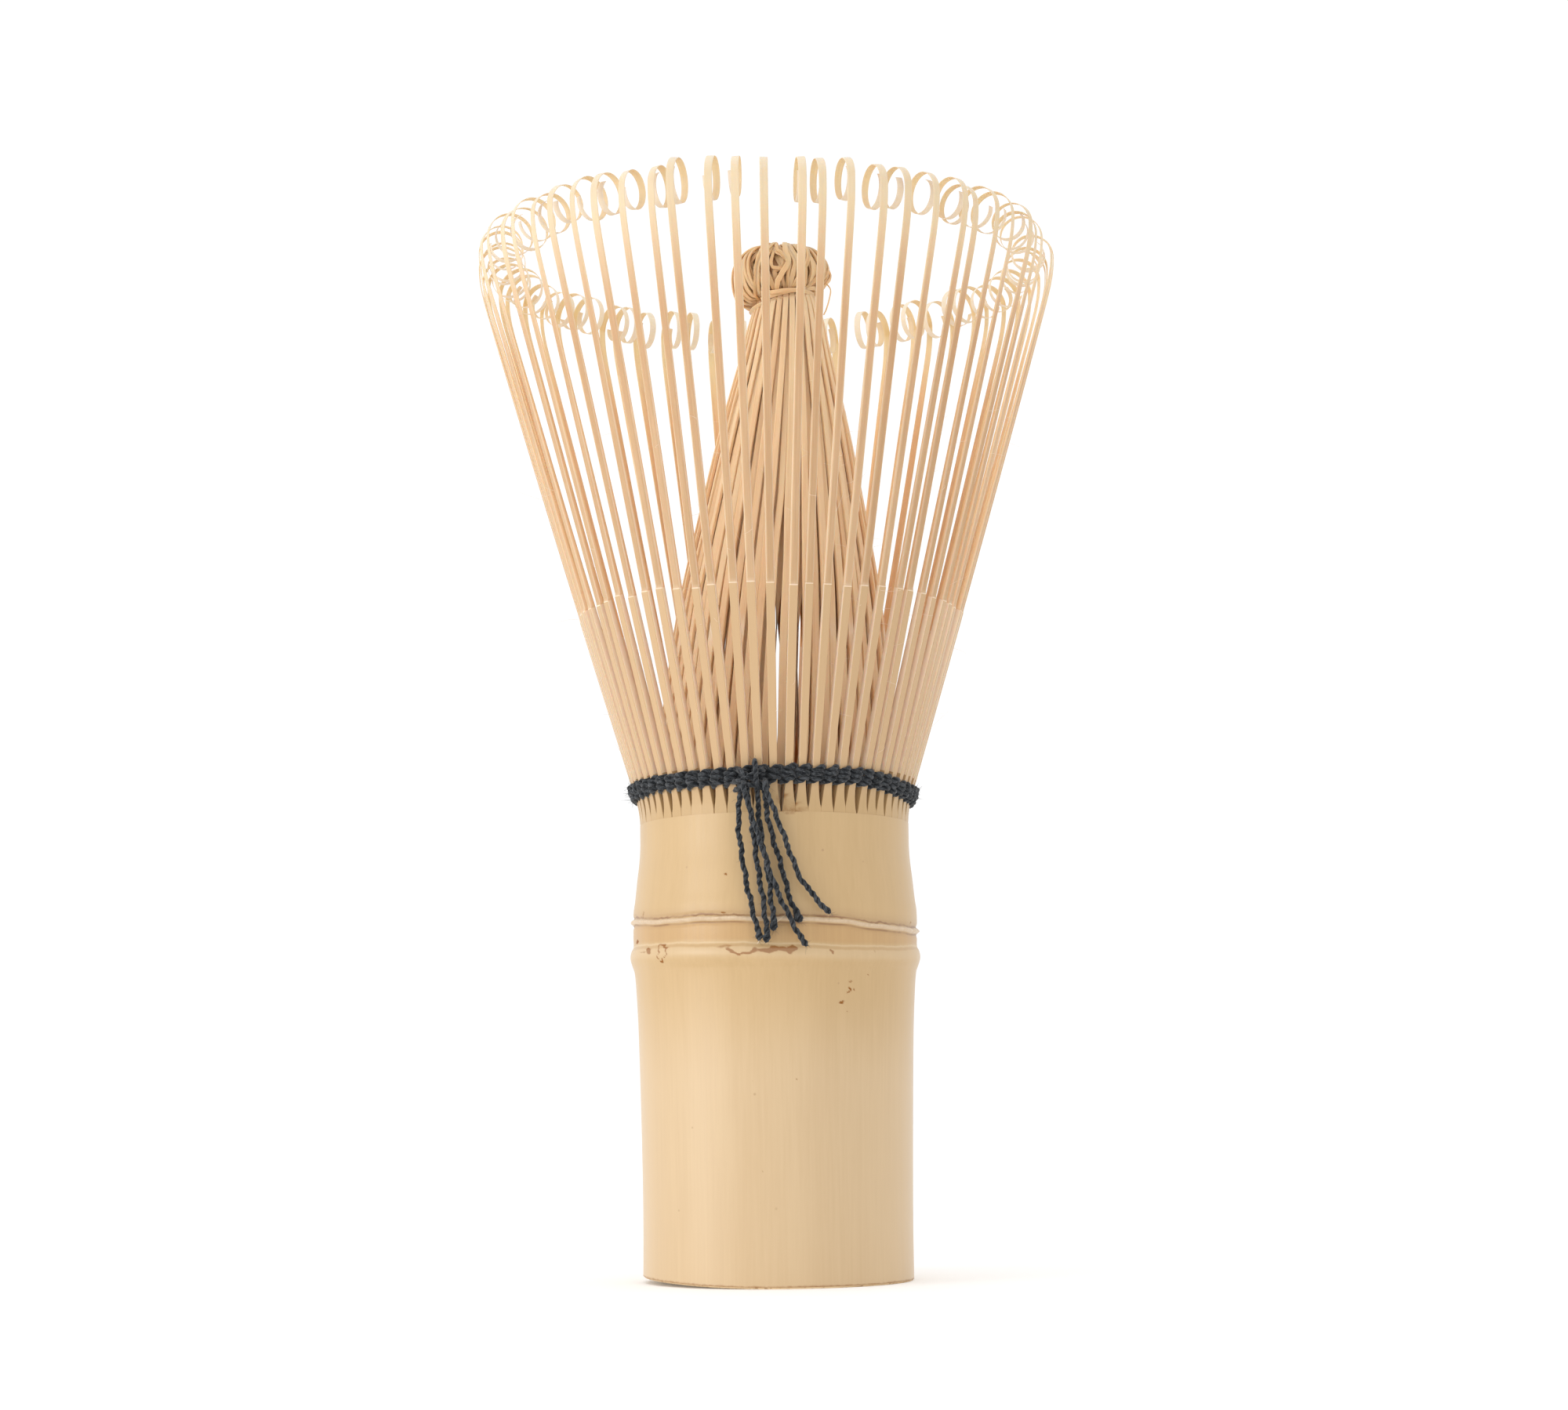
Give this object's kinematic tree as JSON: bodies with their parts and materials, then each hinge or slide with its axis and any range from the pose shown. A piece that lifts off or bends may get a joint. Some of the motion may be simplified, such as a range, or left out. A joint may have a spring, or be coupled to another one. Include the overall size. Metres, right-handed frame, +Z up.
{
  "type": "bamboo tea whisk",
  "caption": "Bamboo tea whisk with a hollow culm handle, splayed outer tines with curled tips, a gathered inner bundle of tines and a twined black thread with hanging ends.",
  "frame": {"origin": "centre of the handle's cut base, on the surface that the whisk stands on", "axes": "+Z up along the culm towards the tines, -Y towards the thread's knot, +X to the right when the knot faces the viewer"},
  "size_m": [0.0626, 0.0622, 0.1114],
  "materials": {
    "bamboo": "satin natural bamboo skin, pale straw, with fine lengthwise fibres",
    "split_bamboo": "matt split and shaved bamboo, warmer than the skin",
    "cotton_thread": "matt black cotton thread, slightly fuzzy"
  },
  "bodies": {
    "root": {"culm_handle": "bamboo", "inner_tines_01": "split_bamboo", "inner_tines_02": "split_bamboo", "inner_tines_03": "split_bamboo", "inner_tines_04": "split_bamboo", "inner_tines_05": "split_bamboo", "inner_tines_06": "split_bamboo", "inner_tines_07": "split_bamboo", "inner_tines_08": "split_bamboo", "inner_tines_09": "split_bamboo", "inner_tines_10": "split_bamboo", "inner_tines_11": "split_bamboo", "inner_tines_12": "split_bamboo", "inner_tines_13": "split_bamboo", "inner_tines_14": "split_bamboo", "inner_tines_15": "split_bamboo", "inner_tines_16": "split_bamboo", "inner_tine_knot": "split_bamboo", "thread_band": "cotton_thread", "thread_knot": "cotton_thread", "thread_tail_01": "cotton_thread", "thread_tail_02": "cotton_thread", "thread_tail_03": "cotton_thread", "thread_tail_04": "cotton_thread", "thread_tail_05": "cotton_thread", "thread_tail_06": "cotton_thread"},
    "wedge_01": {"outer_tines_01": "bamboo"},
    "wedge_02": {"outer_tines_02": "bamboo"},
    "wedge_03": {"outer_tines_03": "bamboo"},
    "wedge_04": {"outer_tines_04": "bamboo"},
    "wedge_05": {"outer_tines_05": "bamboo"},
    "wedge_06": {"outer_tines_06": "bamboo"},
    "wedge_07": {"outer_tines_07": "bamboo"},
    "wedge_08": {"outer_tines_08": "bamboo"},
    "wedge_09": {"outer_tines_09": "bamboo"},
    "wedge_10": {"outer_tines_10": "bamboo"},
    "wedge_11": {"outer_tines_11": "bamboo"},
    "wedge_12": {"outer_tines_12": "bamboo"},
    "wedge_13": {"outer_tines_13": "bamboo"},
    "wedge_14": {"outer_tines_14": "bamboo"},
    "wedge_15": {"outer_tines_15": "bamboo"},
    "wedge_16": {"outer_tines_16": "bamboo"}
  },
  "joints": [
    {"name": "wedge_01_flex", "type": "hinge", "parent": "root", "child": "wedge_01", "pos_m": [0.01394, 0.00212, 0.049], "axis": [-0.1504, 0.9886, 0], "range_deg": [-2, 4], "stiffness_Nm_per_rad": 0.01},
    {"name": "wedge_02_flex", "type": "hinge", "parent": "root", "child": "wedge_02", "pos_m": [0.01207, 0.00729, 0.049], "axis": [-0.5173, 0.8558, 0], "range_deg": [-2, 4], "stiffness_Nm_per_rad": 0.01},
    {"name": "wedge_03_flex", "type": "hinge", "parent": "root", "child": "wedge_03", "pos_m": [0.00836, 0.01136, 0.049], "axis": [-0.8054, 0.5927, 0], "range_deg": [-2, 4], "stiffness_Nm_per_rad": 0.01},
    {"name": "wedge_04_flex", "type": "hinge", "parent": "root", "child": "wedge_04", "pos_m": [0.00337, 0.01369, 0.049], "axis": [-0.9709, 0.2394, 0], "range_deg": [-2, 4], "stiffness_Nm_per_rad": 0.01},
    {"name": "wedge_05_flex", "type": "hinge", "parent": "root", "child": "wedge_05", "pos_m": [-0.00212, 0.01394, 0.049], "axis": [-0.9886, -0.1504, 0], "range_deg": [-2, 4], "stiffness_Nm_per_rad": 0.01},
    {"name": "wedge_06_flex", "type": "hinge", "parent": "root", "child": "wedge_06", "pos_m": [-0.00729, 0.01207, 0.049], "axis": [-0.8558, -0.5173, 0], "range_deg": [-2, 4], "stiffness_Nm_per_rad": 0.01},
    {"name": "wedge_07_flex", "type": "hinge", "parent": "root", "child": "wedge_07", "pos_m": [-0.01136, 0.00836, 0.049], "axis": [-0.5927, -0.8054, 0], "range_deg": [-2, 4], "stiffness_Nm_per_rad": 0.01},
    {"name": "wedge_08_flex", "type": "hinge", "parent": "root", "child": "wedge_08", "pos_m": [-0.01369, 0.00337, 0.049], "axis": [-0.2394, -0.9709, 0], "range_deg": [-2, 4], "stiffness_Nm_per_rad": 0.01},
    {"name": "wedge_09_flex", "type": "hinge", "parent": "root", "child": "wedge_09", "pos_m": [-0.01394, -0.00212, 0.049], "axis": [0.1504, -0.9886, 0], "range_deg": [-2, 4], "stiffness_Nm_per_rad": 0.01},
    {"name": "wedge_10_flex", "type": "hinge", "parent": "root", "child": "wedge_10", "pos_m": [-0.01207, -0.00729, 0.049], "axis": [0.5173, -0.8558, 0], "range_deg": [-2, 4], "stiffness_Nm_per_rad": 0.01},
    {"name": "wedge_11_flex", "type": "hinge", "parent": "root", "child": "wedge_11", "pos_m": [-0.00836, -0.01136, 0.049], "axis": [0.8054, -0.5927, 0], "range_deg": [-2, 4], "stiffness_Nm_per_rad": 0.01},
    {"name": "wedge_12_flex", "type": "hinge", "parent": "root", "child": "wedge_12", "pos_m": [-0.00337, -0.01369, 0.049], "axis": [0.9709, -0.2394, 0], "range_deg": [-2, 4], "stiffness_Nm_per_rad": 0.01},
    {"name": "wedge_13_flex", "type": "hinge", "parent": "root", "child": "wedge_13", "pos_m": [0.00212, -0.01394, 0.049], "axis": [0.9886, 0.1504, 0], "range_deg": [-2, 4], "stiffness_Nm_per_rad": 0.01},
    {"name": "wedge_14_flex", "type": "hinge", "parent": "root", "child": "wedge_14", "pos_m": [0.00729, -0.01207, 0.049], "axis": [0.8558, 0.5173, 0], "range_deg": [-2, 4], "stiffness_Nm_per_rad": 0.01},
    {"name": "wedge_15_flex", "type": "hinge", "parent": "root", "child": "wedge_15", "pos_m": [0.01136, -0.00836, 0.049], "axis": [0.5927, 0.8054, 0], "range_deg": [-2, 4], "stiffness_Nm_per_rad": 0.01},
    {"name": "wedge_16_flex", "type": "hinge", "parent": "root", "child": "wedge_16", "pos_m": [0.01369, -0.00337, 0.049], "axis": [0.2394, 0.9709, 0], "range_deg": [-2, 4], "stiffness_Nm_per_rad": 0.01}
  ]
}
